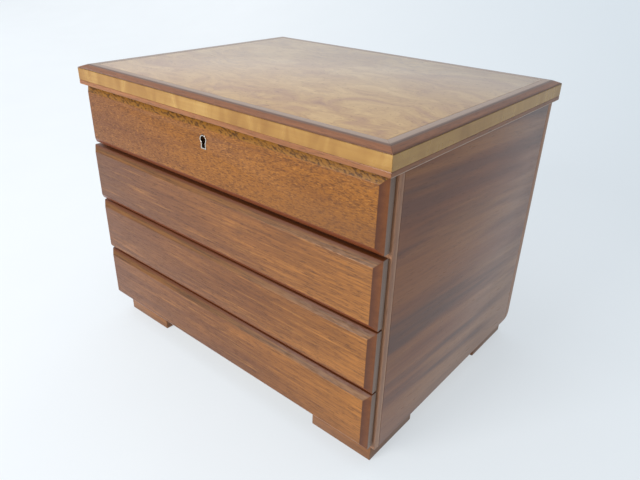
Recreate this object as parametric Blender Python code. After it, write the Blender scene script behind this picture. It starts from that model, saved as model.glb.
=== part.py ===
"""Jewellery chest: a lift-up lid over a lined compartment, with three drawers below it.

Sizes are in millimetres and become metres where a mesh is made. The origin is under the middle
of the chest, on the surface that it stands on. The drawer fronts face -Y, +X is to the right
of somebody who looks at them, and +Z is up.
"""
import math

import bmesh
import bpy
from mathutils import Vector

MM = 0.001
GAP = 0.3                      # clearance between pieces that touch

# Lid: a rail, a light band and a chamfered moulding, one above the other, round a core.
LID_WIDTH = 330.0
LID_DEPTH = 259.0
TOTAL_HEIGHT = 258.0
RAIL_HEIGHT = 3.65
BAND_HEIGHT = 9.9
MOULDING_HEIGHT = 2.85
LID_BOTTOM = TOTAL_HEIGHT - MOULDING_HEIGHT - BAND_HEIGHT - RAIL_HEIGHT - 2 * GAP
RAIL_TOP = LID_BOTTOM + RAIL_HEIGHT
BAND_BOTTOM = RAIL_TOP + GAP
BAND_TOP = BAND_BOTTOM + BAND_HEIGHT
MOULDING_BOTTOM = BAND_TOP + GAP
RAIL_WIDTH = 23.0
BAND_WIDTH = 8.0
CHAMFER_WIDTH = 6.4
CHAMFER_NOSE = 0.3             # upright edge left below the chamfer
MOULDING_WIDTH = 13.2
MIRROR_HALF = (100.0, 70.0)
MIRROR_THICK = 2.6
LID_PAD_THICK = 3.3

# Case: panels with solid lippings on their front and back edges, and boards between them.
CASE_TOP = LID_BOTTOM - 0.4
CASE_BOTTOM = 18.3
CASE_FRONT = -118.4
CASE_BACK = 119.2
SIDE_OUTER = 163.6
SIDE_THICK = 10.0
SIDE_INNER = SIDE_OUTER - SIDE_THICK
FRONT_LIPPING = 6.5
BACK_LIPPING = 7.5
FRONT_CORNER_RADIUS = 3.0
BACK_CORNER_RADIUS = 7.0
BACK_THICK = 10.0
BACK_INNER = CASE_BACK - BACK_THICK
BASE_THICK = 8.0
DUST_BOARD_THICK = 5.0
FLOOR_THICK = 6.0
BOARD_SETBACK = 0.2            # board edges behind the front edges of the sides

# Fronts: flat plates with square edges and a wide bevel, laid over the front of the case.
FRONT_HALF_WIDTH = 162.1
FRONT_PLANE = -128.8
FRONT_BEVEL_WIDTH = 5.3
FRONT_BEVEL_DEPTH = 3.9
FRONT_EDGE = 5.4
FRONT_BACK = FRONT_PLANE + FRONT_BEVEL_DEPTH + FRONT_EDGE
FRONT_HEIGHTS = {              # bottom and top of each front
    "lower": (24.3, 76.4),
    "middle": (78.0, 129.8),
    "upper": (131.4, 184.8),
    "false": (188.2, 240.4),
}
EXTRA_LEFT_END = {"lower": -0.8, "upper": 1.8, "false": -1.8}  # the fronts' left ends differ

# Drawer boxes
DRAWER_SIDE_THICK = 6.0
DRAWER_SIDE_CLEARANCE = 1.0
DRAWER_OUTER = SIDE_INNER - DRAWER_SIDE_CLEARANCE
DRAWER_INNER = DRAWER_OUTER - DRAWER_SIDE_THICK
DRAWER_HEIGHT = 43.0
DRAWER_LIFT = 0.4              # under the box, above its board
DRAWER_BACK = 104.0
DRAWER_BASE_THICK = 4.0
DRAWER_BASE_RAISE = 1.5
BOX_FRONT = FRONT_BACK + GAP

# Linings: open fabric trays
LINING_WALL = 1.8
LINING_FLOOR = 3.0
LINING_DROP = 1.0              # below the top edge of the box
COMPARTMENT_WALL = 2.5
COMPARTMENT_PAD = 4.0
COMPARTMENT_DROP = 2.0

# Feet: L-shaped brackets under the corners of the case.
FOOT_HEIGHT = CASE_BOTTOM - GAP
FOOT_OUTER_X = 157.6
FOOT_FRONT = -113.6
FOOT_BACK = 117.3
FOOT_LEG = 59.0
FOOT_THICK = 10.0

# Hinges: the lid leaf and the case leaf lie flat in the joint, the knuckles hang behind it.
PIN_Y = CASE_BACK + 2.3
PIN_Z = (CASE_TOP + LID_BOTTOM) / 2
HINGE_X = 100.0
HINGE_LENGTH = 40.0
KNUCKLE_LENGTH = (HINGE_LENGTH - 2 * GAP) / 3
BARREL_RADIUS = 2.0
PIN_RADIUS = 0.8
LEAF_THICK = 1.0
LEAF_REACH = 11.1              # from the pin to the far edge of a leaf
LEAF_START = 2.3               # from the pin to the near edge of a leaf
TONGUE_START = 1.0
KNUCKLE_SLOT = 2.5             # half width and height of the slot in the lid round the knuckles

# Lock: a box lock behind the false front, with two staples on a plate in the lid.
KEY_X = 0.0
KEYHOLE_TOP = 230.4
KEYHOLE_HEIGHT = 10.8
KEYHOLE_HEAD = 3.7
KEYHOLE_NECK = 2.5
KEYHOLE_FOOT = 2.8
ESCUTCHEON_RIM = 0.8
ESCUTCHEON_PROUD = 0.3
ESCUTCHEON_DEPTH = 5.0
KEY_Z = KEYHOLE_TOP - KEYHOLE_HEAD
LOCK_HALF_WIDTH = 20.0
LOCK_BOTTOM = 210.6
LOCK_FRONT = -116.4
LOCK_BACK = -109.4
LOCK_Y = (LOCK_FRONT + LOCK_BACK) / 2
LOCK_WALL = 0.9
LOCK_PLATE = 1.2
LOCK_PIN_RADIUS = 0.9
BOLT_BOTTOM = 231.2
BOLT_TOP = 233.4
BOLT_HALF_THICK = 1.0
STAPLE_X = 8.0
STAPLE_HALF_LENGTH = 1.0
STAPLE_HALF_WIDTH = 2.1
STAPLE_LEG = 0.8
STAPLE_BOTTOM = 233.9
LINK_HALF = (17.0, 3.4)
LINK_THICK = 1.0

# Colours, roughness and metallic value of each material.
FINISHES = {
    "burr_walnut": ((0.62, 0.44, 0.25), 0.22, 0.0),
    "maple": ((0.72, 0.49, 0.20), 0.28, 0.0),
    "mahogany": ((0.36, 0.17, 0.08), 0.3, 0.0),
    "sapele": ((0.25, 0.15, 0.10), 0.35, 0.0),
    "board": ((0.42, 0.30, 0.18), 0.6, 0.0),
    "velvet": ((0.22, 0.05, 0.06), 0.95, 0.0),
    "mirror": ((0.9, 0.9, 0.9), 0.03, 1.0),
    "brass": ((0.72, 0.52, 0.22), 0.3, 1.0),
    "nickel": ((0.72, 0.71, 0.68), 0.2, 1.0),
}


def clear_scene():
    for item in list(bpy.data.objects):
        bpy.data.objects.remove(item, do_unlink=True)


def make_material(name):
    colour, roughness, metallic = FINISHES[name]
    material = bpy.data.materials.new(name)
    material.use_nodes = True
    shader = material.node_tree.nodes["Principled BSDF"]
    shader.inputs["Base Color"].default_value = (*colour, 1.0)
    shader.inputs["Roughness"].default_value = roughness
    shader.inputs["Metallic"].default_value = metallic
    return material


def axis_empty(name, place):
    """An empty on a joint's axis, which the pieces of that moving body hang from."""
    empty = bpy.data.objects.new(name, None)
    empty.location = Vector(place) * MM
    bpy.context.collection.objects.link(empty)
    return empty


# ---- outlines: each gives a closed loop of points, and loft skins a row of such loops ----

def flat_rect(x, y, z):
    return [(x[0], y[0], z), (x[1], y[0], z), (x[1], y[1], z), (x[0], y[1], z)]


def upright_rect(x, y, z):
    return [(x[0], y, z[0]), (x[1], y, z[0]), (x[1], y, z[1]), (x[0], y, z[1])]


def circle_yz(x, radius, y=0.0, z=0.0, count=32):
    angles = [2 * math.pi * i / count for i in range(count)]
    return [(x, y + radius * math.cos(a), z + radius * math.sin(a)) for a in angles]


def circle_xz(y, radius, x=0.0, z=0.0, count=16):
    angles = [2 * math.pi * i / count for i in range(count)]
    return [(x + radius * math.cos(a), y, z + radius * math.sin(a)) for a in angles]


def keyhole(y, grow):
    """Keyhole outline in the plane y: a round head over a skirt that flares to a flat foot."""
    head = KEYHOLE_HEAD + grow
    neck = KEYHOLE_NECK + grow
    foot = KEYHOLE_FOOT + grow
    foot_z = KEYHOLE_TOP - KEYHOLE_HEIGHT - grow
    start = -math.acos(neck / head)
    sweep = math.pi - 2 * start
    steps = 20
    angles = [start + sweep * i / steps for i in range(steps + 1)]
    points = [(KEY_X - foot, y, foot_z), (KEY_X + foot, y, foot_z)]
    points += [(KEY_X + head * math.cos(a), y, KEY_Z + head * math.sin(a)) for a in angles]
    return points


def loft(name, material, loops, ring=False, parent=None):
    """Skin a row of equal loops into one closed solid; a ring joins the last to the first."""
    points = [Vector(point) * MM for loop in loops for point in loop]
    low = Vector([min(p[i] for p in points) for i in range(3)])
    high = Vector([max(p[i] for p in points) for i in range(3)])
    centre = (low + high) / 2
    bm = bmesh.new()
    verts = [bm.verts.new(point - centre) for point in points]
    count = len(loops[0])
    rows = [verts[i * count:(i + 1) * count] for i in range(len(loops))]
    pairs = list(zip(rows, rows[1:]))
    if ring:
        pairs.append((rows[-1], rows[0]))
    else:
        bm.faces.new(rows[0])
        bm.faces.new(rows[-1])
    for lower, upper in pairs:
        for i in range(count):
            j = (i + 1) % count
            bm.faces.new((lower[i], lower[j], upper[j], upper[i]))
    bmesh.ops.recalc_face_normals(bm, faces=bm.faces)
    mesh = bpy.data.meshes.new(name)
    bm.to_mesh(mesh)
    bm.free()
    mesh.shade_smooth()
    mesh.set_sharp_from_angle(angle=math.radians(30))
    mesh.materials.append(material)
    item = bpy.data.objects.new(name, mesh)
    bpy.context.collection.objects.link(item)
    item.location = centre
    if parent:
        item.parent = parent
        item.location = centre - parent.location
    return item


def block(name, material, x, y, z, parent=None):
    return loft(name, material, [flat_rect(x, y, z[0]), flat_rect(x, y, z[1])], parent=parent)


def combine(target, operation, loops, ring=False):
    """Cut a lofted shape out of a piece, or add it, with a hidden tool object."""
    name = f"{target.name}_tool_{len(target.modifiers) + 1}"
    tool = loft(name, target.data.materials[0], loops, ring, target.parent)
    tool.hide_render = True
    tool.display_type = "WIRE"
    modifier = target.modifiers.new(name, "BOOLEAN")
    modifier.operation = operation
    modifier.object = tool
    modifier.solver = "EXACT"


def cut_block(target, x, y, z):
    combine(target, "DIFFERENCE", [flat_rect(x, y, z[0]), flat_rect(x, y, z[1])])


def tray(name, material, x, y, z, wall, floor, parent=None):
    """An open tray, skinned from its underside up the outside, over the rim and down inside."""
    inner_x = (x[0] + wall, x[1] - wall)
    inner_y = (y[0] + wall, y[1] - wall)
    loops = [
        flat_rect(x, y, z[0]),
        flat_rect(x, y, z[1]),
        flat_rect(inner_x, inner_y, z[1]),
        flat_rect(inner_x, inner_y, z[0] + floor),
    ]
    return loft(name, material, loops, parent=parent)


# ---- the case ----

def lipping(name, material, side, edge, inner, radius):
    """Solid strip on one edge of a side panel, rounded at its lower outer corner."""
    outward = 1 if edge > inner else -1
    steps = 6
    outline = [(inner, CASE_BOTTOM), (inner, CASE_TOP), (edge, CASE_TOP)]
    for i in range(steps + 1):
        angle = math.pi / 2 * i / steps
        across = edge - outward * radius * (1 - math.cos(angle))
        outline.append((across, CASE_BOTTOM + radius * (1 - math.sin(angle))))
    faces = (side * SIDE_INNER, side * SIDE_OUTER)
    return loft(name, material, [[(x, y, z) for y, z in outline] for x in faces])


def build_sides(wood, lipping_wood):
    for label, side in (("left", -1), ("right", 1)):
        x = sorted((side * SIDE_INNER, side * SIDE_OUTER))
        front_joint = CASE_FRONT + FRONT_LIPPING
        back_joint = CASE_BACK - BACK_LIPPING
        y = (front_joint + GAP, back_joint - GAP)
        block(f"case_side_{label}", wood, x, y, (CASE_BOTTOM, CASE_TOP))
        lipping(f"lipping_front_{label}", lipping_wood, side, CASE_FRONT, front_joint,
                FRONT_CORNER_RADIUS)
        lipping(f"lipping_back_{label}", lipping_wood, side, CASE_BACK, back_joint,
                BACK_CORNER_RADIUS)


def board_level(below, above):
    """Height midway between the fronts that meet in front of a board."""
    return (FRONT_HEIGHTS[below][1] + FRONT_HEIGHTS[above][0]) / 2


def build_boards(wood):
    x = (-SIDE_INNER + GAP, SIDE_INNER - GAP)
    y = (CASE_FRONT + BOARD_SETBACK, BACK_INNER - GAP)
    base_bottom = CASE_BOTTOM + GAP
    block("case_base", wood, x, y, (base_bottom, base_bottom + BASE_THICK))
    levels = {
        "dust_board_lower": (board_level("lower", "middle"), DUST_BOARD_THICK),
        "dust_board_upper": (board_level("middle", "upper"), DUST_BOARD_THICK),
        "compartment_floor": (board_level("upper", "false"), FLOOR_THICK),
    }
    tops = {"case_base": base_bottom + BASE_THICK}
    for name, (level, thick) in levels.items():
        block(name, wood, x, y, (level - thick / 2, level + thick / 2))
        tops[name] = level + thick / 2
    return tops


def build_case_back(wood):
    x = (-SIDE_INNER + GAP, SIDE_INNER - GAP)
    back = block("case_back", wood, x, (BACK_INNER, CASE_BACK), (CASE_BOTTOM + GAP, CASE_TOP))
    recess_y = (PIN_Y - LEAF_REACH - GAP, CASE_BACK + 1.0)
    recess_z = (CASE_TOP - LEAF_THICK - GAP, CASE_TOP + 1.0)
    for centre in (-HINGE_X, HINGE_X):
        reach = HINGE_LENGTH / 2 + GAP
        cut_block(back, (centre - reach, centre + reach), recess_y, recess_z)


def bevelled_front(name, material, level, parent=None):
    z = FRONT_HEIGHTS[level]
    x = (-FRONT_HALF_WIDTH - EXTRA_LEFT_END.get(level, 0.0), FRONT_HALF_WIDTH)
    face_x = (x[0] + FRONT_BEVEL_WIDTH, x[1] - FRONT_BEVEL_WIDTH)
    face_z = (z[0] + FRONT_BEVEL_WIDTH, z[1] - FRONT_BEVEL_WIDTH)
    loops = [
        upright_rect(x, FRONT_BACK, z),
        upright_rect(x, FRONT_PLANE + FRONT_BEVEL_DEPTH, z),
        upright_rect(face_x, FRONT_PLANE, face_z),
    ]
    return loft(name, material, loops, parent=parent)


def build_compartment(front_wood, panel_wood, velvet, floor_top):
    false_front = bevelled_front("false_front", front_wood, "false")
    through = [keyhole(FRONT_PLANE - 1.0, GAP), keyhole(FRONT_BACK + 1.0, GAP)]
    combine(false_front, "DIFFERENCE", through)

    x = (-SIDE_INNER + GAP, SIDE_INNER - GAP)
    panel_back = -BACK_INNER
    panel = block("compartment_front", panel_wood, x, (BOX_FRONT, panel_back),
                  (floor_top + GAP, CASE_TOP))
    pocket_x = (KEY_X - LOCK_HALF_WIDTH - GAP, KEY_X + LOCK_HALF_WIDTH + GAP)
    cut_block(panel, pocket_x, (LOCK_FRONT - GAP, panel_back + 1.0),
              (LOCK_BOTTOM - GAP, CASE_TOP + 1.0))
    combine(panel, "DIFFERENCE", [keyhole(BOX_FRONT - 1.0, 0.0), keyhole(LOCK_FRONT, 0.0)])

    y = (panel_back + GAP, BACK_INNER - GAP)
    tray("compartment_lining", velvet, x, y, (floor_top + GAP, CASE_TOP - COMPARTMENT_DROP),
         COMPARTMENT_WALL, COMPARTMENT_PAD)


def build_feet(wood):
    for row, edge, inward in (("front", FOOT_FRONT, 1), ("back", FOOT_BACK, -1)):
        for label, side in (("left", -1), ("right", 1)):
            outer = side * FOOT_OUTER_X
            plan = [
                (outer, edge),
                (outer - side * FOOT_LEG, edge),
                (outer - side * FOOT_LEG, edge + inward * FOOT_THICK),
                (outer - side * FOOT_THICK, edge + inward * FOOT_THICK),
                (outer - side * FOOT_THICK, edge + inward * FOOT_LEG),
                (outer, edge + inward * FOOT_LEG),
            ]
            loops = [[(x, y, z) for x, y in plan] for z in (0.0, FOOT_HEIGHT)]
            loft(f"foot_{row}_{label}", wood, loops)


# ---- the drawers ----

def build_drawer(level, board_top, woods, velvet):
    """A box behind a bevelled front, on a slide that starts at the middle of the front."""
    bottom = board_top + DRAWER_LIFT
    top = bottom + DRAWER_HEIGHT
    name = f"drawer_{level}"
    slide = axis_empty(f"{name}_slide", (0.0, FRONT_BACK, (bottom + top) / 2))
    bevelled_front(f"{name}_front", woods["mahogany"], level, slide)
    for label, side in (("left", -1), ("right", 1)):
        x = sorted((side * DRAWER_INNER, side * DRAWER_OUTER))
        block(f"{name}_side_{label}", woods["board"], x, (BOX_FRONT, DRAWER_BACK),
              (bottom, top), slide)
    inside = (-DRAWER_INNER + GAP, DRAWER_INNER - GAP)
    back_front = DRAWER_BACK - DRAWER_SIDE_THICK
    block(f"{name}_back", woods["board"], inside, (back_front, DRAWER_BACK), (bottom, top), slide)
    base_bottom = bottom + DRAWER_BASE_RAISE
    base_top = base_bottom + DRAWER_BASE_THICK
    depth = (BOX_FRONT, back_front - GAP)
    block(f"{name}_base", woods["board"], inside, depth, (base_bottom, base_top), slide)
    tray(f"{name}_lining", velvet, inside, depth, (base_top + GAP, top - LINING_DROP),
         LINING_WALL, LINING_FLOOR, slide)


# ---- the lid ----

def edge_strips(prefix, material, section, parent):
    """Four strips round the lid, mitred at the corners.

    The section is a list of (inset from the lid's edge, height) points.
    """
    mitre = GAP / math.sqrt(2)
    half_x = LID_WIDTH / 2
    half_y = LID_DEPTH / 2
    strips = {}
    for label, side in (("front", -1), ("back", 1)):
        loops = [[(end * (half_x - inset - mitre), side * (half_y - inset), z)
                  for inset, z in section] for end in (-1, 1)]
        strips[label] = loft(f"{prefix}_{label}", material, loops, parent=parent)
    for label, side in (("left", -1), ("right", 1)):
        loops = [[(side * (half_x - inset), end * (half_y - inset - mitre), z)
                  for inset, z in section] for end in (-1, 1)]
        strips[label] = loft(f"{prefix}_{label}", material, loops, parent=parent)
    return strips


def oblong(width, bottom, top):
    return [(0.0, bottom), (width, bottom), (width, top), (0.0, top)]


def build_lid(materials, axis):
    moulding = [
        (0.0, MOULDING_BOTTOM),
        (MOULDING_WIDTH, MOULDING_BOTTOM),
        (MOULDING_WIDTH, TOTAL_HEIGHT),
        (CHAMFER_WIDTH, TOTAL_HEIGHT),
        (0.0, MOULDING_BOTTOM + CHAMFER_NOSE),
    ]
    edge_strips("lid_moulding", materials["mahogany"], moulding, axis)
    band = oblong(BAND_WIDTH, BAND_BOTTOM, BAND_TOP)
    edge_strips("lid_band", materials["maple"], band, axis)
    rail = oblong(RAIL_WIDTH, LID_BOTTOM, RAIL_TOP)
    rails = edge_strips("lid_rail", materials["mahogany"], rail, axis)
    cut_hinge_slots(rails["back"])
    cut_block(rails["front"],
              (KEY_X - LINK_HALF[0] - GAP, KEY_X + LINK_HALF[0] + GAP),
              (LOCK_Y - LINK_HALF[1] - GAP, LOCK_Y + LINK_HALF[1] + GAP),
              (LID_BOTTOM - 1.0, LID_BOTTOM + LINK_THICK + GAP))

    def inset_span(inset):
        half_x = LID_WIDTH / 2 - inset
        half_y = LID_DEPTH / 2 - inset
        return (-half_x, half_x), (-half_y, half_y)

    x, y = inset_span(BAND_WIDTH + GAP)
    block("lid_core", materials["board"], x, y, (BAND_BOTTOM, BAND_TOP), axis)
    x, y = inset_span(MOULDING_WIDTH + GAP)
    block("lid_burr_panel", materials["burr_walnut"], x, y, (MOULDING_BOTTOM, TOTAL_HEIGHT), axis)

    mirror_x = (-MIRROR_HALF[0], MIRROR_HALF[0])
    mirror_y = (-MIRROR_HALF[1], MIRROR_HALF[1])
    block("lid_mirror", materials["mirror"], mirror_x, mirror_y,
          (RAIL_TOP - MIRROR_THICK, RAIL_TOP), axis)
    x, y = inset_span(RAIL_WIDTH + 2 * GAP)
    hole_x = (mirror_x[0] - GAP, mirror_x[1] + GAP)
    hole_y = (mirror_y[0] - GAP, mirror_y[1] + GAP)
    bottom = RAIL_TOP - LID_PAD_THICK
    loops = [
        flat_rect(x, y, bottom),
        flat_rect(x, y, RAIL_TOP),
        flat_rect(hole_x, hole_y, RAIL_TOP),
        flat_rect(hole_x, hole_y, bottom),
    ]
    loft("lid_lining", materials["velvet"], loops, ring=True, parent=axis)


# ---- the hinges ----

def cut_hinge_slots(rail):
    """Room in the underside of the back rail for the lid leaves and for the knuckles."""
    for centre in (-HINGE_X, HINGE_X):
        reach = HINGE_LENGTH / 2 + GAP
        x = (centre - reach, centre + reach)
        cut_block(rail, x, (PIN_Y - LEAF_REACH - GAP, PIN_Y),
                  (LID_BOTTOM - 1.0, LID_BOTTOM + LEAF_THICK + GAP))
        cut_block(rail, x, (PIN_Y - KNUCKLE_SLOT, PIN_Y + KNUCKLE_SLOT),
                  (LID_BOTTOM - 1.0, PIN_Z + KNUCKLE_SLOT))


def knuckle_span(centre, number):
    start = centre - HINGE_LENGTH / 2 + number * (KNUCKLE_LENGTH + GAP)
    return start, start + KNUCKLE_LENGTH


def leaf(name, material, centre, tongues, bottom, parent):
    """Flat leaf whose near edge has a tongue for each knuckle that it carries."""
    far = PIN_Y - LEAF_REACH
    near = PIN_Y - LEAF_START
    tip = PIN_Y - TONGUE_START
    left = centre - HINGE_LENGTH / 2
    right = centre + HINGE_LENGTH / 2
    plan = [(left, far), (right, far), (right, near)]
    for number in sorted(tongues, reverse=True):
        start, end = knuckle_span(centre, number)
        if end < right - GAP:
            plan.append((end, near))
        else:
            plan.pop()
        plan += [(end, tip), (start, tip)]
        if start > left + GAP:
            plan.append((start, near))
    if min(tongues) > 0:
        plan.append((left, near))
    loops = [[(x, y, z) for x, y in plan] for z in (bottom, bottom + LEAF_THICK)]
    piece = loft(name, material, loops, parent=parent)
    for number in tongues:
        start, end = knuckle_span(centre, number)
        barrel = [circle_yz(x, BARREL_RADIUS, PIN_Y, PIN_Z) for x in (start, end)]
        combine(piece, "UNION", barrel)
    return piece


def build_hinges(brass, lid_axis):
    for label, centre in (("left", -HINGE_X), ("right", HINGE_X)):
        case_leaf = leaf(f"hinge_{label}_case_leaf", brass, centre, (0, 2),
                         CASE_TOP - LEAF_THICK, None)
        inner_end = knuckle_span(centre, 0)[1]
        outer_start = knuckle_span(centre, 2)[0]
        pin = [circle_yz(x, PIN_RADIUS, PIN_Y, PIN_Z) for x in (inner_end - 2, outer_start + 2)]
        combine(case_leaf, "UNION", pin)
        lid_leaf = leaf(f"hinge_{label}_lid_leaf", brass, centre, (1,), LID_BOTTOM, lid_axis)
        start, end = knuckle_span(centre, 1)
        bore = [circle_yz(x, PIN_RADIUS + GAP, PIN_Y, PIN_Z) for x in (start - 1, end + 1)]
        combine(lid_leaf, "DIFFERENCE", bore)


# ---- the lock ----

def build_escutcheon(nickel):
    """Thin metal liner of the keyhole, a little proud of the false front."""
    front = FRONT_PLANE - ESCUTCHEON_PROUD
    back = front + ESCUTCHEON_DEPTH
    loops = [
        keyhole(front, 0.0),
        keyhole(back, 0.0),
        keyhole(back, -ESCUTCHEON_RIM),
        keyhole(front, -ESCUTCHEON_RIM),
    ]
    loft("keyhole_escutcheon", nickel, loops, ring=True)


def build_lock_case(brass):
    x = (KEY_X - LOCK_HALF_WIDTH, KEY_X + LOCK_HALF_WIDTH)
    case = block("lock_case", brass, x, (LOCK_FRONT, LOCK_BACK), (LOCK_BOTTOM, CASE_TOP))
    wall = 2 * LOCK_WALL
    cut_block(case, (x[0] + wall, x[1] - wall), (LOCK_FRONT + LOCK_WALL, LOCK_BACK - LOCK_WALL),
              (LOCK_BOTTOM + LOCK_PLATE, CASE_TOP - LOCK_PLATE))
    rim = -ESCUTCHEON_RIM
    combine(case, "DIFFERENCE",
            [keyhole(LOCK_FRONT - 1.0, rim), keyhole(LOCK_FRONT + 2 * LOCK_WALL, rim)])
    for staple in (KEY_X - STAPLE_X, KEY_X + STAPLE_X):
        half_x = STAPLE_HALF_LENGTH + 0.6
        half_y = STAPLE_HALF_WIDTH + 0.4
        cut_block(case, (staple - half_x, staple + half_x), (LOCK_Y - half_y, LOCK_Y + half_y),
                  (CASE_TOP - 2 * LOCK_PLATE, CASE_TOP + 1.0))
    pin = [circle_xz(y, LOCK_PIN_RADIUS, KEY_X, KEY_Z)
           for y in (LOCK_BACK - LOCK_WALL / 2, LOCK_FRONT + 0.4)]
    combine(case, "UNION", pin)


def build_lock_bolt(brass, slide):
    """Sliding bar with a nose for each staple and a notch below that the key turns in."""
    nose_bottom = STAPLE_BOTTOM + 1.5
    nose_top = nose_bottom + 2.0
    talon = 3.0
    talon_top = BOLT_BOTTOM + 1.0
    outline = [(-talon, BOLT_BOTTOM), (-talon, talon_top), (talon, talon_top),
               (talon, BOLT_BOTTOM), (10.5, BOLT_BOTTOM), (10.5, BOLT_TOP)]
    for staple in (STAPLE_X, -STAPLE_X):
        column = (staple - 7.6, staple - 5.4)
        outline += [(column[1], BOLT_TOP), (column[1], nose_bottom),
                    (staple - 1.6, nose_bottom), (staple - 1.6, nose_top),
                    (column[0], nose_top)]
        if staple > 0:
            outline.append((column[0], BOLT_TOP))
    outline.append((-STAPLE_X - 7.6, BOLT_BOTTOM))
    faces = (LOCK_Y - BOLT_HALF_THICK, LOCK_Y + BOLT_HALF_THICK)
    loft("lock_bolt", brass, [[(KEY_X + x, y, z) for x, z in outline] for y in faces],
         parent=slide)


def build_link_plate(brass, lid_axis):
    """Plate let into the lid's front rail, with two staples that drop into the lock."""
    x = (KEY_X - LINK_HALF[0], KEY_X + LINK_HALF[0])
    y = (LOCK_Y - LINK_HALF[1], LOCK_Y + LINK_HALF[1])
    plate = block("lock_link_plate", brass, x, y, (LID_BOTTOM, LID_BOTTOM + LINK_THICK), lid_axis)
    outer = STAPLE_HALF_WIDTH
    eye = outer - STAPLE_LEG
    top = LID_BOTTOM + LINK_THICK / 2
    for staple in (KEY_X - STAPLE_X, KEY_X + STAPLE_X):
        ends = (staple - STAPLE_HALF_LENGTH, staple + STAPLE_HALF_LENGTH)
        hoop = [(-outer, STAPLE_BOTTOM), (outer, STAPLE_BOTTOM), (outer, top), (-outer, top)]
        hole = [(-eye, STAPLE_BOTTOM + 1.0), (eye, STAPLE_BOTTOM + 1.0),
                (eye, LID_BOTTOM - 1.0), (-eye, LID_BOTTOM - 1.0)]
        loops = [[(x_end, LOCK_Y + across, z) for across, z in shape]
                 for x_end, shape in ((ends[0], hoop), (ends[1], hoop),
                                      (ends[1], hole), (ends[0], hole))]
        combine(plate, "UNION", loops, ring=True)


def main():
    clear_scene()
    materials = {name: make_material(name) for name in FINISHES}
    build_sides(materials["sapele"], materials["mahogany"])
    tops = build_boards(materials["board"])
    build_case_back(materials["sapele"])
    build_compartment(materials["mahogany"], materials["board"], materials["velvet"],
                      tops["compartment_floor"])
    build_feet(materials["mahogany"])
    boards_under = {"lower": "case_base", "middle": "dust_board_lower",
                    "upper": "dust_board_upper"}
    for level, board in boards_under.items():
        build_drawer(level, tops[board], materials, materials["velvet"])
    lid_axis = axis_empty("lid_axis", (0.0, PIN_Y, PIN_Z))
    build_lid(materials, lid_axis)
    build_hinges(materials["brass"], lid_axis)
    build_escutcheon(materials["nickel"])
    build_lock_case(materials["brass"])
    bolt_slide = axis_empty("lock_bolt_slide", (KEY_X, LOCK_Y, BOLT_BOTTOM))
    build_lock_bolt(materials["brass"], bolt_slide)
    build_link_plate(materials["brass"], lid_axis)


main()
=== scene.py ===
"""The looks of a veneered jewellery chest, piece by piece in the order that it is put together."""
import math

import bpy
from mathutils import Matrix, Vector


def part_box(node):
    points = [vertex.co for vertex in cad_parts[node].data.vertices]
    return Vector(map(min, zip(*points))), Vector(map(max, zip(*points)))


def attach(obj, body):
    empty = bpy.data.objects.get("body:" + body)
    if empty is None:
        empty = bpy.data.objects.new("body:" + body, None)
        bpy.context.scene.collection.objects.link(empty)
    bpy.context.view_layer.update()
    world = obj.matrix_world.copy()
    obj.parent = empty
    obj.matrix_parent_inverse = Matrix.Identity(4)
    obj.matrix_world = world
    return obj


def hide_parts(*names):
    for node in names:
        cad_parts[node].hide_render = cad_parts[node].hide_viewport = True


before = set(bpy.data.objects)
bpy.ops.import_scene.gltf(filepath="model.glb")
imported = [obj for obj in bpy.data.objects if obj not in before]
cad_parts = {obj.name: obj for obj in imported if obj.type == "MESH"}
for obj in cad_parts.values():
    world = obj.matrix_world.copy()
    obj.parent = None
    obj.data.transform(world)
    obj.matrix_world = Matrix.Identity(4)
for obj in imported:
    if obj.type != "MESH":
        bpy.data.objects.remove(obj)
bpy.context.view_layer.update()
mm = 0.001


# ---- Case sides ----
# Two boards faced with ribbon-striped sapele veneer, whose stripes fall a little to the back.
# A solid mahogany lipping is glued along the front and back edge of each, and the arrises are
# sanded off before the polish goes on.

def pick(*pieces):
    """Selects just these pieces and makes the last of them active."""
    bpy.ops.object.select_all(action="DESELECT")
    for piece in pieces:
        piece.select_set(True)
        bpy.context.view_layer.objects.active = piece


def fix_modifiers(piece):
    pick(piece)
    for modifier in list(piece.modifiers):
        bpy.ops.object.modifier_apply(modifier=modifier.name)


def select_faces(piece, wanted):
    """Goes into edit mode with just the faces that wanted(face) is true for selected."""
    pick(piece)
    bpy.ops.object.mode_set(mode="EDIT")
    bpy.ops.mesh.select_mode(type="FACE")
    bpy.ops.mesh.select_all(action="DESELECT")
    bpy.ops.object.mode_set(mode="OBJECT")
    for face in piece.data.polygons:
        face.select = wanted(face)
    bpy.ops.object.mode_set(mode="EDIT")


class Wire:
    """A socket in a finish: sums on it add Math nodes, and node() adds any other node."""

    def __init__(self, tree, socket):
        self.tree = tree
        self.socket = socket

    def node(self, kind, inputs, out=0, stops=None, **settings):
        made = self.tree.nodes.new("ShaderNode" + kind)
        for name, value in settings.items():
            setattr(made, name, value)
        if stops:
            for place, colour in stops[1:-1]:
                made.color_ramp.elements.new(place)
            for element, (place, colour) in zip(made.color_ramp.elements, stops):
                element.position = place
                element.color = (*colour, 1.0)
        for name, value in inputs.items():
            if isinstance(value, Wire):
                self.tree.links.new(value.socket, made.inputs[name])
            else:
                made.inputs[name].default_value = value
        return Wire(self.tree, made.outputs[out])

    def sum(self, operation, *values):
        return self.node("Math", dict(enumerate(values)), operation=operation)

    def __add__(self, other):
        return self.sum("ADD", self, other)

    def __sub__(self, other):
        return self.sum("SUBTRACT", self, other)

    def __rsub__(self, other):
        return self.sum("SUBTRACT", other, self)

    def __mul__(self, other):
        return self.sum("MULTIPLY", self, other)

    def __abs__(self):
        return self.sum("ABSOLUTE", self)

    __radd__ = __add__
    __rmul__ = __mul__


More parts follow.
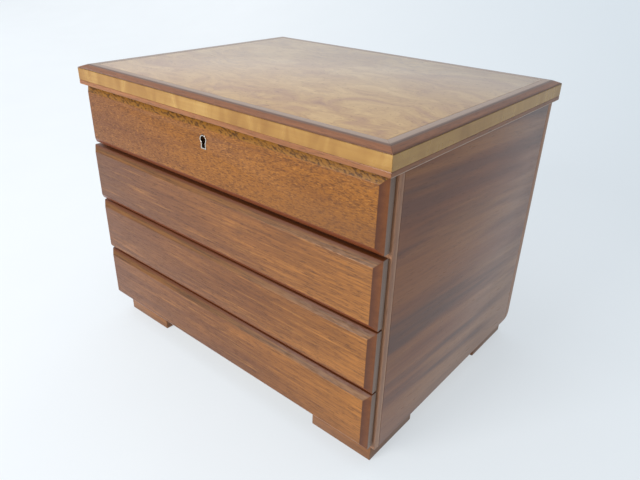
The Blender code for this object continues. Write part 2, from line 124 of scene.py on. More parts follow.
def new_finish(name):
    """A new material, and the place on the piece in millimetres to draw its figure with."""
    material = bpy.data.materials.new(name)
    material.use_nodes = True
    tree = material.node_tree
    place = Wire(tree, tree.nodes.new("ShaderNodeTexCoord").outputs["Object"])
    return material, place.node("VectorMath", {0: place, "Scale": 1 / mm}, operation="SCALE")


def part_of(place, axis):
    return place.node("SeparateXYZ", {0: place}, out="XYZ".index(axis))


def turned(place, along, tilt=0.0):
    """The place turned so that its X axis runs along the grain."""
    turn = {"X": (0.0, 0.0, 0.0), "Y": (tilt, 0.0, -math.pi / 2), "Z": (0.0, math.pi / 2, 0.0)}
    return place.node("Mapping", {"Vector": place, "Rotation": turn[along]})


def figure(place, stretch, detail=2.0, rough=0.5, warp=0.0):
    """Soft figure with this many waves to the millimetre along, and across, the grain."""
    along, across = stretch
    scaled = place.node("VectorMath", {0: place, 1: (along, across, across)}, operation="MULTIPLY")
    return place.node("TexNoise", {"Vector": scaled, "Scale": 1.0, "Detail": detail,
                                   "Roughness": rough, "Distortion": warp})


def spread(value, low, high):
    """The value's range from low to high, drawn out to run from 0 to 1."""
    return value.node("MapRange", {0: value, 1: low, 2: high, 3: 0.0, 4: 1.0}, clamp=True)


def tint(amount, first, second):
    colours = {6: first, 7: second}
    for key, colour in colours.items():
        if isinstance(colour, tuple):
            colours[key] = (*colour, 1.0)
    return amount.node("Mix", {0: amount, **colours}, out=2, data_type="RGBA")


def shades(value, *stops):
    return value.node("ValToRGB", {0: value}, stops=stops)


def finish(material, colour, roughness, height=None, depth=0.05, fixed=()):
    """Links the figure to the shader. Fixed values are set on the shader's own sockets."""
    tree = material.node_tree
    shader = tree.nodes["Principled BSDF"]
    tree.links.new(colour.socket, shader.inputs["Base Color"])
    tree.links.new(roughness.socket, shader.inputs["Roughness"])
    if height is not None:
        raised = height.node("Bump", {"Height": height, "Strength": 1.0, "Distance": depth * mm})
        tree.links.new(raised.socket, shader.inputs["Normal"])
    for name, value in dict(fixed).items():
        shader.inputs[name].default_value = value
    return material


def dress(piece, material):
    piece.data.materials.clear()
    piece.data.materials.append(material)


def worked_copy(node, body):
    """A merged copy of a CAD piece, to be worked on and shown in its place."""
    piece = bpy.data.objects.new(f"{node}_worked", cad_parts[node].data.copy())
    bpy.context.collection.objects.link(piece)
    pick(piece)
    bpy.ops.object.mode_set(mode="EDIT")
    bpy.ops.mesh.select_all(action="SELECT")
    bpy.ops.mesh.remove_doubles(threshold=0.01 * mm)
    bpy.ops.mesh.dissolve_limited(angle_limit=math.radians(1))
    bpy.ops.object.mode_set(mode="OBJECT")
    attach(piece, body)
    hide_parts(node)
    return piece


def ease_arrises(piece, width, steps=2):
    """Takes the sharp edges off, as sandpaper leaves them."""
    bevel = piece.modifiers.new("arris", "BEVEL")
    bevel.width = width * mm
    bevel.segments = steps
    bevel.limit_method = "ANGLE"
    bevel.angle_limit = math.radians(20)
    fix_modifiers(piece)
    bpy.ops.object.shade_smooth_by_angle(angle=math.radians(32))


polish = {"IOR": 1.36}


def ribbon_sapele(name, along, tilt=0.0):
    material, place = new_finish(name)
    grain = turned(place, along, tilt=math.radians(tilt))
    ribbon = figure(grain, (0.0045, 0.058), detail=2.0, rough=0.5, warp=0.2)
    narrow = figure(grain, (0.006, 0.125), detail=2.0)
    lights = spread(ribbon * 0.68 + narrow * 0.32, 0.39, 0.59)
    fine = figure(grain, (0.009, 0.30), detail=4.0, rough=0.65)
    warm = spread(figure(grain, (0.004, 0.026), detail=2.0), 0.42, 0.60)
    fibre = figure(grain, (0.05, 1.5), detail=3.0, rough=0.7)
    pores = spread(figure(grain, (0.13, 1.8), detail=2.0), 0.58, 0.72)
    tone = shades(lights, (0.0, (0.150, 0.084, 0.066)), (0.4, (0.225, 0.105, 0.063)),
                  (1.0, (0.315, 0.146, 0.068)))
    tone = tint(spread(fine, 0.35, 0.65) * 0.30, tone, (0.105, 0.050, 0.034))
    tone = tint(warm * 0.45, tone, (0.215, 0.084, 0.047))
    tone = tint(pores * 0.35, tone, (0.045, 0.020, 0.014))
    gloss = 0.30 + lights * -0.06 + fibre * 0.10
    height = 1.0 - pores * 0.7 - fibre * 0.25
    return finish(material, tone, gloss, height, 0.05, polish)


def upright_mahogany():
    material, place = new_finish("upright_mahogany")
    grain = turned(place, "Z")
    streak = spread(figure(grain, (0.008, 0.35), detail=4.0, rough=0.6), 0.34, 0.66)
    fibre = figure(grain, (0.06, 1.6), detail=3.0, rough=0.7)
    pores = spread(figure(grain, (0.12, 1.9), detail=2.0), 0.57, 0.70)
    tone = shades(streak * 0.75 + fibre * 0.25, (0.0, (0.385, 0.195, 0.106)),
                  (1.0, (0.270, 0.128, 0.070)))
    tone = tint(pores * 0.5, tone, (0.060, 0.028, 0.014))
    gloss = 0.32 + fibre * 0.12
    return finish(material, tone, gloss, 1.0 - pores * 0.7 - fibre * 0.3, 0.05, polish)


stripe_fall = 5.2        # degrees
up_to_lippings = 1.0024  # closes the glue gap in front and behind
sapele = ribbon_sapele("ribbon_sapele", "Y", tilt=stripe_fall)
lipping_wood = upright_mahogany()
for side in ("left", "right"):
    panel = worked_copy(f"case_side_{side}", "case")
    bpy.ops.object.mode_set(mode="EDIT")
    bpy.ops.mesh.select_all(action="SELECT")
    bpy.ops.transform.resize(value=(1.0, up_to_lippings, 1.0), center_override=(0.0, 0.0, 0.0))
    bpy.ops.object.mode_set(mode="OBJECT")
    ease_arrises(panel, 0.08)
    dress(panel, sapele)
    for edge in ("front", "back"):
        lipping = worked_copy(f"lipping_{edge}_{side}", "case")
        ease_arrises(lipping, 0.5, steps=3)
        dress(lipping, lipping_wood)


# ---- Case back, base and the boards between the drawers ----
# The back is veneered to match the sides. The base and dust boards are plain light boards with
# a mahogany lipping along the front, and they are left bare behind it.

def bare_board(name, along, lipped=False):
    material, place = new_finish(name)
    grain = turned(place, along)
    streak = spread(figure(grain, (0.008, 0.14), detail=4.0, rough=0.6, warp=0.5), 0.3, 0.7)
    fibre = figure(grain, (0.05, 1.3), detail=3.0, rough=0.7)
    tone = shades(streak * 0.7 + fibre * 0.3, (0.0, (0.47, 0.31, 0.16)), (1.0, (0.33, 0.20, 0.09)))
    if lipped:
        red = tint(streak * 0.6 + fibre * 0.4, (0.19, 0.060, 0.020), (0.085, 0.024, 0.009))
        lipping_back = -112.0
        tone = tint(spread(part_of(place, "Y"), lipping_back, lipping_back - 0.2), tone, red)
    return finish(material, tone, 0.48 + fibre * 0.15, 1.0 - fibre, 0.05)


board_across = bare_board("board_grain_across", "X")
board_deep = bare_board("board_grain_front_to_back", "Y")
lipped_board = bare_board("lipped_board", "X", lipped=True)
for node in ("case_base", "dust_board_lower", "dust_board_upper", "compartment_floor"):
    dress(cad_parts[node], lipped_board)
back = worked_copy("case_back", "case")
ease_arrises(back, 0.3)
dress(back, ribbon_sapele("back_sapele", "X"))


# ---- Feet ----
# Four bracket feet of solid mahogany under the corners of the case. The grain follows each leg
# of the bracket and changes over at a mitre.

def mahogany_figure(place, along):
    """Long streaks, fine fibres and dark open pores, each from 0 to 1."""
    grain = turned(place, along)
    streak = spread(figure(grain, (0.010, 0.20), detail=4.0, rough=0.62, warp=0.3), 0.33, 0.67)
    fibre = figure(grain, (0.06, 1.5), detail=3.0, rough=0.7)
    pores = spread(figure(grain, (0.11, 1.55), detail=2.0, rough=0.6), 0.545, 0.66)
    return streak, fibre, pores


def bracket_mahogany():
    material, place = new_finish("bracket_mahogany")
    tones = []
    for along in "XY":
        streak, fibre, pores = mahogany_figure(place, along)
        tone = shades(streak * 0.75 + fibre * 0.25, (0.0, (0.25, 0.108, 0.040)),
                      (1.0, (0.140, 0.056, 0.022)))
        tones.append(tint(pores * 0.55, tone, (0.06, 0.022, 0.010)))
    mitre = 42.0
    side_leg = spread(abs(part_of(place, "X")) - abs(part_of(place, "Y")), mitre, mitre + 0.3)
    tone = tint(side_leg, tones[0], tones[1])
    return finish(material, tone, 0.34 + fibre * 0.12, 1.0 - fibre, 0.04, polish)


foot_wood = bracket_mahogany()
for row in ("front", "back"):
    for side in ("left", "right"):
        foot = worked_copy(f"foot_{row}_{side}", "case")
        ease_arrises(foot, 0.5)
        dress(foot, foot_wood)


# ---- Tray under the lid ----
# A plywood front behind the false front, and a lining of velvet over card: a thin wall with a
# soft top edge, and a stuffed pad on the floor.

def nap(name, light, dark):
    material, place = new_finish(name)
    brushed = spread(figure(place, (0.05, 0.05), detail=3.0, warp=1.0), 0.35, 0.65)
    pile = figure(place, (2.6, 2.6), detail=2.0, rough=0.7)
    tone = tint(brushed * 0.5 + pile * 0.5, light, dark)
    fixed = {"Sheen Weight": 0.5, "Sheen Roughness": 0.4, "Sheen Tint": (0.9, 0.35, 0.38, 1.0),
             "IOR": 1.3}
    return finish(material, tone, 0.85 + pile * 0.1, pile, 0.25, fixed)


def lining_wall(node, body, thick):
    """The wall of a velvet lining: velvet over thin card, with a rolled top edge."""
    low, high = [Vector(corner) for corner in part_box(node)]
    bpy.ops.object.select_all(action="DESELECT")
    bpy.ops.mesh.primitive_cube_add(size=1.0, location=(low + high) / 2)
    wall = bpy.context.object
    wall.name = f"{node}_wall"
    bpy.ops.transform.resize(value=high - low)
    bpy.ops.object.transform_apply(location=True, rotation=True, scale=True)
    select_faces(wall, lambda face: abs(face.normal.z) > 0.5)
    bpy.ops.mesh.delete(type="FACE")
    bpy.ops.object.mode_set(mode="OBJECT")
    solid = wall.modifiers.new("card", "SOLIDIFY")
    solid.thickness = thick * mm
    solid.offset = -1.0
    roll = wall.modifiers.new("roll", "BEVEL")
    roll.width = thick * 0.42 * mm
    roll.segments = 3
    roll.limit_method = "ANGLE"
    roll.angle_limit = math.radians(50)
    fix_modifiers(wall)
    bpy.ops.object.shade_smooth_by_angle(angle=math.radians(50))
    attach(wall, body)
    return wall


def stuffed_pad(name, low, high, crown, opening=None, up=1.0):
    """A flat velvet pad, sewn round its edge and stuffed so that its face swells by crown."""
    size = high - low
    mesh_size = 4.5
    bpy.ops.object.select_all(action="DESELECT")
    bpy.ops.mesh.primitive_grid_add(x_subdivisions=round(size.x / (mesh_size * mm)),
                                    y_subdivisions=round(size.y / (mesh_size * mm)),
                                    size=1.0, location=(low + high) / 2)
    pad = bpy.context.object
    pad.name = name
    bpy.ops.transform.resize(value=(size.x, size.y, 1.0))
    bpy.ops.object.transform_apply(location=True, rotation=True, scale=True)
    if opening:
        select_faces(pad, lambda face: abs(face.center.x) < opening[0] * mm
                     and abs(face.center.y) < opening[1] * mm)
        bpy.ops.mesh.delete(type="FACE")
        bpy.ops.object.mode_set(mode="OBJECT")
    cover = pad.modifiers.new("cover", "SOLIDIFY")
    cover.thickness = size.z
    cover.offset = 0.0
    fix_modifiers(pad)
    middle = (low.z + high.z) / 2
    swell_pad(pad, middle, crown, up)
    bevel = pad.modifiers.new("seam", "BEVEL")
    bevel.width = size.z * 0.3
    bevel.segments = 2
    bevel.limit_method = "ANGLE"
    bevel.angle_limit = math.radians(50)
    soft = pad.modifiers.new("soft", "SUBSURF")
    soft.levels = soft.render_levels = 1
    fix_modifiers(pad)
    bpy.ops.object.shade_smooth()
    return pad


def swell_pad(pad, middle, crown, up):
    """Stuffs the pad: its backing stays down, and its face rises to no more than the crown."""
    rest = [vertex.co.copy() for vertex in pad.data.vertices]
    backing = pad.vertex_groups.new(name="backing")
    backing.add([i for i, co in enumerate(rest) if (co.z - middle) * up < 0], 1.0, "REPLACE")
    cloth = pad.modifiers.new("stuffing", "CLOTH")
    cloth.settings.quality = 5
    cloth.settings.mass = 0.15
    cloth.settings.tension_stiffness = 12
    cloth.settings.compression_stiffness = 12
    cloth.settings.use_pressure = True
    cloth.settings.uniform_pressure_force = 4.0
    cloth.settings.effector_weights.gravity = 0.0
    cloth.settings.vertex_group_mass = "backing"
    frames = 20
    for number in range(1, frames + 1):
        bpy.context.scene.frame_set(number)
    fix_modifiers(pad)
    bpy.context.scene.frame_set(1)
    rises = [max((vertex.co.z - start.z) * up, 0.0) for vertex, start in zip(pad.data.vertices, rest)]
    highest = max(rises)
    for vertex, start, rise in zip(pad.data.vertices, rest, rises):
        swell = crown * mm * math.sqrt(rise / highest)
        vertex.co = (start.x, start.y, start.z + up * swell)


velvet = nap("burgundy_velvet", (0.17, 0.012, 0.022), (0.085, 0.006, 0.012))
dress(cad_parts["compartment_front"], lipped_board)
tray_wall = lining_wall("compartment_lining", "case", 2.5)
dress(tray_wall, velvet)
low, high = [Vector(corner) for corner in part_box("compartment_lining")]
inset = Vector((3.2, 3.2, 0.15)) * mm
seam_height = 3.4
floor_pad = stuffed_pad("compartment_floor_pad", low + inset,
                        Vector((high.x - inset.x, high.y - inset.y, low.z + seam_height * mm)), 2.4)
dress(floor_pad, velvet)
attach(floor_pad, "case")
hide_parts("compartment_lining")


# ---- False front and keyhole ----
# The top front is fixed to the case. Its mahogany is cut so that the open grain shows as short
# dark flecks. A small nickel liner is let into the keyhole, a hair proud of the wood.

def right_end_shade_and_reflection(place, tone, streak, low, high):
    """The right-hand bevel of a front, painted dark as shade and redder to its outer arris, and its
    square end, painted greyer as a reflection.
    """
    bevel_width, inner_arris, end, square_edge = 5.3, 156.8, 162.0, -125.1
    x, y, z = (part_of(place, axis) for axis in "XYZ")
    below = z.sum("MAXIMUM", low + bevel_width - z, 0.0)
    above = z.sum("MAXIMUM", z - (high - bevel_width), 0.0)
    # Painted shade on the right-hand bevel, darkest at its inner arris
    bevel = tint(spread(x, inner_arris + 0.2, end - 1.0), (0.088, 0.034, 0.020), (0.185, 0.064, 0.022))
    bevel = tint(streak * 0.45, bevel, (0.075, 0.024, 0.012))
    tone = tint(spread(x - below - above, inner_arris, inner_arris + 0.3), tone, bevel)
    # A painted reflection greys the square end
    square_end_reflection = spread(y, square_edge, square_edge + 0.3) * spread(x, end - 0.3, end)
    return tint(square_end_reflection * 0.7, tone, (0.24, 0.19, 0.155))


def speckled_mahogany(bottom, top):
    material, place = new_finish("speckled_mahogany")
    grain = turned(place, "X")
    streak, fibre, pores = mahogany_figure(place, "X")
    cloud = spread(figure(grain, (0.008, 0.03), detail=2.0), 0.38, 0.62)
    flecks = spread(figure(grain, (0.34, 1.55), detail=2.0, rough=0.6), 0.49, 0.60)
    sparks = spread(figure(grain, (0.40, 1.40), detail=2.0, rough=0.5), 0.57, 0.67)
    leaning = place.node("Mapping", {"Vector": place, "Rotation": (0.0, math.radians(-22), 0.0)})
    scores = spread(figure(leaning, (0.16, 0.75), detail=3.0, rough=0.6), 0.47, 0.60)
    x, z = part_of(place, "X"), part_of(place, "Z")
    tone = shades(streak * 0.5 + cloud * 0.5, (0.0, (0.228, 0.082, 0.013)),
                  (0.5, (0.255, 0.095, 0.015)), (1.0, (0.165, 0.056, 0.011)))
    # Painted shade: the face darkens towards the left
    tone = tint(spread(x, 20.0, -150.0) * 0.62, tone, (0.122, 0.040, 0.013))
    tone = tint(sparks * 0.50, tone, (0.40, 0.170, 0.035))
    tone = tint(flecks * 0.66, tone, (0.070, 0.023, 0.007))
    # Painted sheen: the lower right of the face is greyer
    low_right_sheen = spread(z, 222.0, 203.0) * spread(x, 0.0, 120.0)
    tone = tint(low_right_sheen * 0.45, tone, (0.150, 0.066, 0.030))
    golden = tint(scores * 0.90, (0.225, 0.095, 0.012), (0.055, 0.019, 0.003))
    tone = tint(spread(z, top - 5.2, top - 4.8), tone, golden)
    # Painted shade on the bottom bevel, darker and redder, in the gap below
    tone = tint(spread(z, bottom + 5.4, bottom + 5.0), tone, (0.150, 0.036, 0.010))
    tone = right_end_shade_and_reflection(place, tone, streak, bottom, top)
    gloss = 0.30 + fibre * 0.10 + flecks * 0.10
    return finish(material, tone, gloss, 1.0 - flecks * 0.7 - fibre * 0.3, 0.05, {"IOR": 1.30})


def polished_nickel():
    material, place = new_finish("polished_nickel")
    scuff = figure(place, (1.2, 1.2), detail=2.0)
    tone = tint(scuff, (0.78, 0.73, 0.65), (0.52, 0.47, 0.41))
    return finish(material, tone, 0.10 + scuff * 0.12, fixed={"Metallic": 1.0})


false_front = worked_copy("false_front", "case")
ease_arrises(false_front, 0.35)
bottom, top = [corner[2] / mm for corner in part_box("false_front")]
dress(false_front, speckled_mahogany(bottom, top))
liner = worked_copy("keyhole_escutcheon", "case")
ease_arrises(liner, 0.2)
dress(liner, polished_nickel())


# ---- Lock ----
# A small brass box lock let into the case front, with a sliding bolt and a pin for the key,
# and a link plate in the lid whose two staples drop into it. Slotted screws hold both.

def worn_brass(name, light, dark):
    material, place = new_finish(name)
    scuff = figure(place, (0.35, 2.2), detail=3.0, rough=0.65)
    dull = spread(figure(place, (0.06, 0.06), detail=2.0), 0.4, 0.65)
    tone = tint(scuff * 0.6 + dull * 0.4, light, dark)
    return finish(material, tone, 0.22 + scuff * 0.2 + dull * 0.1, fixed={"Metallic": 1.0})


def slotted_screw(name, place, facing, turn, material, body, radius=1.5):
    """The head of a countersunk screw, a hair proud of the plate that it holds."""
    bpy.ops.object.select_all(action="DESELECT")
    bpy.ops.mesh.primitive_cylinder_add(vertices=20, radius=radius * mm, depth=0.5 * mm)
    head = bpy.context.object
    head.name = name
    select_faces(head, lambda face: face.normal.z > 0.9)
    bpy.ops.mesh.bevel(offset=0.12 * mm, segments=2)
    bpy.ops.object.mode_set(mode="OBJECT")
    edge = 0.22 * mm         # half the width of the slot
    slot_depth = 0.3 * mm
    select_faces(head, lambda face: face.normal.z > 0.9)
    for side in (-edge, edge):
        bpy.ops.mesh.bisect(plane_co=(0.0, side, 0.0), plane_no=(0.0, 1.0, 0.0))
        bpy.ops.object.mode_set(mode="OBJECT")
        select_faces(head, lambda face: face.normal.z > 0.9)
    bpy.ops.object.mode_set(mode="OBJECT")
    select_faces(head, lambda face: face.normal.z > 0.9 and abs(face.center.y) < edge)
    bpy.ops.mesh.extrude_region_move(TRANSFORM_OT_translate={"value": (0.0, 0.0, -slot_depth)})
    bpy.ops.object.mode_set(mode="OBJECT")
    head.rotation_euler = (math.pi if facing < 0 else 0.0, 0.0, math.radians(turn))
    head.location = place
    pick(head)
    bpy.ops.object.transform_apply(location=True, rotation=True, scale=True)
    bpy.ops.object.shade_smooth_by_angle(angle=math.radians(32))
    dress(head, material)
    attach(head, body)


brass = worn_brass("worn_brass", (0.80, 0.58, 0.26), (0.55, 0.37, 0.15))
screw_brass = worn_brass("screw_brass", (0.46, 0.33, 0.15), (0.25, 0.17, 0.08))
for node, body in (("lock_case", "case"), ("lock_bolt", "lock_bolt"), ("lock_link_plate", "lid")):
    piece = worked_copy(node, body)
    ease_arrises(piece, 0.12, steps=1)
    dress(piece, brass)
lock_low, lock_high = [Vector(corner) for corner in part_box("lock_case")]
plate_low, plate_high = [Vector(corner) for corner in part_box("lock_link_plate")]
sunk = 0.17              # from a plate's face to the middle of a screw's head
link_thick = 1.0
for number, sign in enumerate((-1, 1)):
    middle = (lock_low + lock_high) / 2
    spot = (middle.x + sign * 17.2 * mm, middle.y, lock_high.z - sunk * mm)
    slotted_screw(f"lock_screw_{number}", spot, 1, 35 + 70 * number, screw_brass, "case", 1.3)
    middle = (plate_low + plate_high) / 2
    spot = (middle.x + sign * 14.2 * mm, middle.y, plate_high.z - (link_thick - sunk) * mm)
    slotted_screw(f"link_screw_{number}", spot, -1, 80 - 55 * number, screw_brass, "lid", 1.3)


# ---- Drawers ----
# Three drawers of plain light wood, each with a solid mahogany front whose four edges are
# bevelled wide. The fronts are painted darker to the left as shade, the upper ones more so,
# and carry painted light, lighter and more golden to the right.

def drawer_mahogany(level, low, high, shade):
    material, place = new_finish(f"{level}_front_mahogany")
    grain = turned(place, "X")
    streak, fibre, _ = mahogany_figure(place, "X")
    pores = spread(figure(grain, (0.15, 2.1), detail=2.0, rough=0.6), 0.535, 0.65)
    cloud = spread(figure(grain, (0.006, 0.028), detail=2.0, warp=0.4), 0.38, 0.62)
    thread = spread(figure(grain, (0.018, 0.60), detail=4.0, rough=0.68), 0.40, 0.62)
    gilt = spread(figure(grain, (0.014, 0.42), detail=3.0, rough=0.6), 0.56, 0.72)
    x, y, z = (part_of(place, axis) for axis in "XYZ")
    tone = shades(streak * 0.55 + cloud * 0.45, (0.0, (0.310, 0.122, 0.030)),
                  (0.5, (0.200, 0.077, 0.024)), (1.0, (0.135, 0.050, 0.019)))
    # Painted shade: the fronts darken to the left, by the shade of each level
    left_shade = tuple(part * shade for part in (0.125, 0.050, 0.027))
    tone = tint(spread(x, 60.0, -150.0) * 0.66, tone, left_shade)
    # Painted light: lighter and more golden to the right
    tone = tint(spread(x, 40.0, 150.0) * 0.44, tone, (0.450, 0.180, 0.034))
    tone = tint(gilt * 0.55, tone, (0.42, 0.185, 0.048))
    tone = tint(thread * 0.50, tone, (0.080, 0.029, 0.012))
    tone = tint(pores * 0.62, tone, (0.050, 0.018, 0.008))
    top_bevel = spread(z, high - 5.2, high - 4.9)
    golden = tint(thread * 0.7 + pores * 0.3, (0.170, 0.067, 0.014), (0.055, 0.020, 0.006))
    # Painted shade on the back of the top bevel and the top edge, under the front above
    golden = tint(spread(y, -126.6, -125.6) * 0.9, golden, (0.100, 0.026, 0.007))
    tone = tint(top_bevel, tone, golden)
    # Painted shade on the bottom bevel, darker and redder, in the gap below
    tone = tint(spread(z, low + 5.2, low + 4.9), tone, (0.150, 0.036, 0.010))
    tone = right_end_shade_and_reflection(place, tone, streak, low, high)
    gloss = 0.30 + fibre * 0.10 + pores * 0.12 + top_bevel * 0.12
    return finish(material, tone, gloss, 1.0 - pores * 0.7 - fibre * 0.3, 0.05, polish)


low, high = [Vector(corner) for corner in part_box("drawer_lower_lining")]
inset = Vector((2.4, 2.4, 0.12)) * mm
seam_height = 2.6
first_pad = stuffed_pad("drawer_lower_pad", low + inset,
                        Vector((high.x - inset.x, high.y - inset.y, low.z + seam_height * mm)), 1.2)
for level, shade in (("lower", 1.0), ("middle", 0.92), ("upper", 0.74)):
    body = f"drawer_{level}"
    bottom, top = [corner[2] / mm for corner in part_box(f"{body}_front")]
    front = worked_copy(f"{body}_front", body)
    ease_arrises(front, 0.35)
    dress(front, drawer_mahogany(level, bottom, top, shade))
    for part, material in (("side_left", board_deep), ("side_right", board_deep),
                           ("back", board_across)):
        board = worked_copy(f"{body}_{part}", body)
        ease_arrises(board, 0.5)
        dress(board, material)
    dress(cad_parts[f"{body}_base"], board_across)
    wall = lining_wall(f"{body}_lining", body, 1.8)
    dress(wall, velvet)
    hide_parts(f"{body}_lining")
    pad = first_pad
    if level != "lower":
        pad = bpy.data.objects.new(f"{body}_pad", first_pad.data.copy())
        bpy.context.collection.objects.link(pad)
        pick(pad)
        pad.location.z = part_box(f"{body}_lining")[0][2] - low.z
        bpy.ops.object.transform_apply(location=True, rotation=False, scale=False)
    dress(pad, velvet)
    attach(pad, body)


# ---- Lid ----
# A flat core edged in layers: a mahogany rail below, a band of pale figured maple, and a
# mahogany moulding that is chamfered round a panel of burr veneer. All are mitred at the corners.

def lid_mahogany(name, along, light, dark):
    material, place = new_finish(name)
    streak, fibre, pores = mahogany_figure(place, along)
    z = part_of(place, "Z")
    across, outer_face = ("Y", 129.5) if along == "X" else ("X", 165.0)
    inwards = outer_face - abs(part_of(place, across))
    tone = shades(streak * 0.7 + fibre * 0.3, (0.0, light), (1.0, dark))
    tone = tint(pores * 0.5, tone, (0.06, 0.022, 0.010))
    on_top = spread(z, 257.5, 257.7)
    tone = tint(on_top * 0.75, tone, (0.33, 0.245, 0.190))
    tone = tint(on_top * spread(inwards, 8.3, 7.6) * 0.8, tone, (0.085, 0.036, 0.022))
    nose = spread(z, 256.0, 255.7) * spread(z, 254.9, 255.0)
    tone = tint(nose * 0.5, tone, (0.060, 0.022, 0.010))
    # A painted highlight along the lower outer arris of the side rails
    if along == "Y":
        painted_arris_highlight = spread(z, 241.8, 241.55) * spread(inwards, 0.9, 0.5)
        tone = tint(painted_arris_highlight * 0.55, tone, (0.60, 0.48, 0.39))
    gloss = 0.27 + fibre * 0.10
    return finish(material, tone, gloss, 1.0 - pores * 0.7 - fibre * 0.3, 0.04, polish)


def figured_maple(name, along, light):
    material, place = new_finish(name)
    grain = turned(place, along)
    curl = spread(figure(grain, (0.055, 0.020), detail=2.5, rough=0.55, warp=0.7), 0.34, 0.66)
    broad = spread(figure(grain, (0.012, 0.03), detail=2.0), 0.36, 0.64)
    streak = spread(figure(grain, (0.010, 0.30), detail=4.0, rough=0.6), 0.40, 0.70)
    fibre = figure(grain, (0.08, 1.6), detail=2.0)
    # The light argument blends every tone towards this paler maple: painted light on the side strips
    painted_light_maple = (0.58, 0.350, 0.120)
    pale, honey, tan, brown = [
        tuple(part + (lightest - part) * light for part, lightest in zip(colour, painted_light_maple))
        for colour in ((0.41, 0.245, 0.074), (0.325, 0.175, 0.046),
                       (0.235, 0.112, 0.026), (0.20, 0.080, 0.020))]
    tone = shades(curl * 0.7 + broad * 0.3, (0.0, pale), (0.5, honey), (1.0, tan))
    tone = tint(streak * 0.30 + fibre * 0.1, tone, brown)
    return finish(material, tone, 0.26 + curl * 0.06, 1.0 - fibre, 0.03, polish)


def burr_veneer():
    material, place = new_finish("burr_veneer")
    drift = figure(place, (0.011, 0.011), detail=3.0)
    sway = figure(place, (0.013, 0.017), detail=2.0, warp=0.8)
    shift = place.node("CombineXYZ", {0: drift * 70.0, 1: sway * 55.0})
    bent = place.node("VectorMath", {0: place, 1: shift}, operation="ADD")
    swirl = spread(figure(bent, (0.016, 0.036), detail=6.0, rough=0.60, warp=1.2), 0.33, 0.67)
    wisps = spread(figure(bent, (0.045, 0.12), detail=5.0, rough=0.65, warp=1.8), 0.52, 0.72)
    veins = spread(abs(figure(bent, (0.022, 0.055), detail=4.0, warp=1.2) - 0.5), 0.035, 0.0)
    eyes = spread(figure(place, (0.30, 0.42), detail=3.0, rough=0.6, warp=0.5), 0.60, 0.72)
    tone = shades(swirl, (0.0, (0.50, 0.330, 0.160)), (0.45, (0.43, 0.270, 0.132)),
                  (1.0, (0.35, 0.205, 0.122)))
    cluster = spread(figure(place, (0.013, 0.016), detail=2.0, warp=0.6), 0.48, 0.60)
    mottle = spread(figure(bent, (0.09, 0.19), detail=5.0, rough=0.7, warp=0.8), 0.46, 0.64)
    tone = tint(cluster * mottle * 0.55, tone, (0.235, 0.130, 0.110))
    tone = tint(wisps * 0.36, tone, (0.250, 0.125, 0.088))
    tone = tint(veins * 0.22, tone, (0.20, 0.095, 0.065))
    tone = tint(eyes * 0.45, tone, (0.11, 0.050, 0.034))
    gloss = 0.28 + swirl * 0.05 + eyes * 0.1
    height = 1.0 - eyes * 0.6 - wisps * 0.4
    return finish(material, tone, gloss, height, 0.010,
                  {"IOR": 1.42, "Coat Weight": 0.45, "Coat Roughness": 0.30})


def is_flat(piece, edge):
    """True for an edge between two faces in one plane."""
    pair = tuple(sorted(edge.vertices))
    normals = [face.normal for face in piece.data.polygons
               if pair in {tuple(sorted(key)) for key in face.edge_keys}]
    return len(normals) == 2 and normals[0].dot(normals[1]) > 0.999


def close_joints(piece, along, up):
    """Brings a mitred strip up tight to its neighbours at both ends and above."""
    low, high = [Vector(corner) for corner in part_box(piece.name.removesuffix("_worked"))]
    both_gaps = 0.24 * mm
    scale = Vector((1.0, 1.0, 1.0))
    scale[along] = 1.0 + both_gaps / (high[along] - low[along])
    pick(piece)
    bpy.ops.object.mode_set(mode="EDIT")
    bpy.ops.mesh.select_all(action="SELECT")
    bpy.ops.transform.resize(value=scale, center_override=(0.0, 0.0, 0.0))
    bpy.ops.object.mode_set(mode="OBJECT")
    for vertex in piece.data.vertices:
        if vertex.co.z > high.z - 0.02 * mm:
            vertex.co.z += up * mm


def round_long_edges(piece, along, width):
    """Rounds a strip's long outer edges. A cut just inside them keeps the recesses out of it."""
    across = 1 - along
    top = 258.0 * mm
    outer = max((vertex.co[across] for vertex in piece.data.vertices), key=abs)
    inside = outer - math.copysign(9.0 * mm, outer)
    cut = Vector((0.0, 0.0, 0.0))
    cut[across] = 1.0
    pick(piece)
    bpy.ops.object.mode_set(mode="EDIT")
    bpy.ops.mesh.select_all(action="SELECT")
    bpy.ops.mesh.bisect(plane_co=cut * (outer - math.copysign(2.5 * mm, outer)), plane_no=cut)
    bpy.ops.mesh.select_mode(type="EDGE")
    bpy.ops.mesh.select_all(action="DESELECT")
    bpy.ops.object.mode_set(mode="OBJECT")
    points = piece.data.vertices
    for edge in piece.data.edges:
        start, end = (points[i].co for i in edge.vertices)
        run = end - start
        middle = (start + end) / 2
        on_face = abs(middle[across] - outer) < 0.1 * mm or abs(middle.z - top) < 0.1 * mm
        edge.select = (abs(run[along]) > 0.95 * run.length and run.length > 60 * mm and on_face
                       and abs(middle[across]) > abs(inside) and not is_flat(piece, edge))
    bpy.ops.object.mode_set(mode="EDIT")
    bpy.ops.mesh.bevel(offset=width * mm, segments=2, affect="EDGES")
    bpy.ops.object.mode_set(mode="OBJECT")
    bpy.ops.object.shade_smooth_by_angle(angle=math.radians(32))


